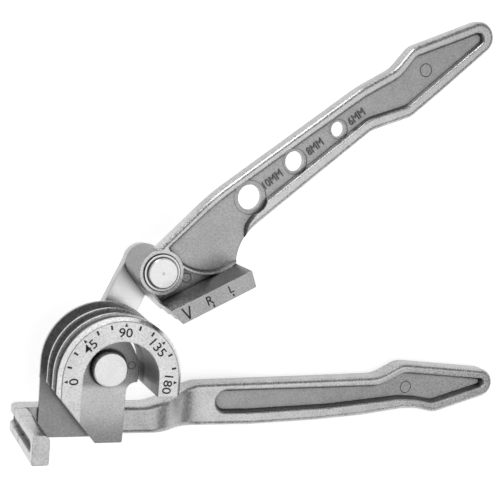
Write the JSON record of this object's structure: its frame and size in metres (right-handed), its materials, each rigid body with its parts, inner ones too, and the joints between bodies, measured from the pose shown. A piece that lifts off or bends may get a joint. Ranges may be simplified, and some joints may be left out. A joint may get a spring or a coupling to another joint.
{
  "type": "manual tube bender",
  "caption": "Hand tube bender with a grooved forming wheel, degree dial, tube hook and a hinged upper handle with shoe and gauge holes.",
  "frame": {"origin": "on the forming wheel's axis, at the flat tail end of the axle pin, in the plane the tool rests on when it lies on its back", "axes": "+Z along the wheel's axis out of the degree dial, +X along the lower handle, +Y towards the upper handle's side"},
  "size_m": [0.2301, 0.1838, 0.058],
  "materials": {
    "cast_alloy": "satin die cast",
    "rolled_steel": "satin",
    "turned_steel": "turned, bright",
    "spring_steel": "dark"
  },
  "bodies": {
    "lower": {"lower_casting": "cast_alloy", "axle_pin": "turned_steel", "axle_thrust_washer": "turned_steel", "axle_back_washer": "turned_steel", "axle_retaining_ring": "spring_steel"},
    "link": {"link_plate": "rolled_steel"},
    "upper": {"upper_casting": "cast_alloy", "swivel_pin": "turned_steel", "swivel_thrust_washer": "turned_steel", "swivel_back_washer": "turned_steel", "swivel_retaining_ring": "spring_steel"}
  },
  "joints": [
    {"name": "link_hinge", "type": "hinge", "parent": "lower", "child": "link", "pos_m": [0, 0, 0], "axis": [0, 0, 1], "range_deg": [-64, 117]},
    {"name": "handle_hinge", "type": "hinge", "parent": "link", "child": "upper", "pos_m": [0.01772, 0.03962, 0], "axis": [0, 0, 1], "range_deg": [-52.2, 68]}
  ]
}
